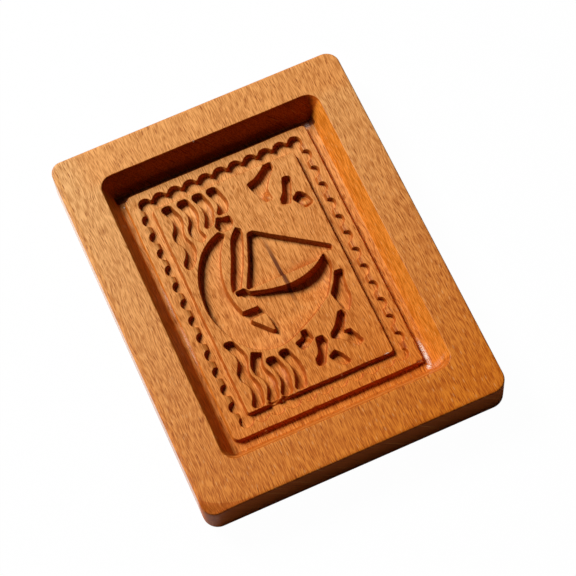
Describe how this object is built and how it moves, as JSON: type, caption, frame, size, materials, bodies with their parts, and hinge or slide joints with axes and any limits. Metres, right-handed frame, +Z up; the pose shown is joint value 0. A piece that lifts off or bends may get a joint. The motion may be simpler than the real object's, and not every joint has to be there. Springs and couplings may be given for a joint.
{
  "type": "wooden cookie stamp",
  "caption": "Rectangular wooden mould board with a deep recess for dough, a lobed frame like the edge of a postage stamp, and a boat, sun, waves and gulls carved in its floor.",
  "frame": {"origin": "centre of the flat underside", "axes": "+Z up out of the carved face, +Y along the board's length to the far short side, +X to the right long side"},
  "size_m": [0.1, 0.1296, 0.013],
  "materials": {
    "beech": "bare sanded and oiled beech, satin"
  },
  "bodies": {
    "root": {"stamp_board": "beech"}
  },
  "joints": []
}
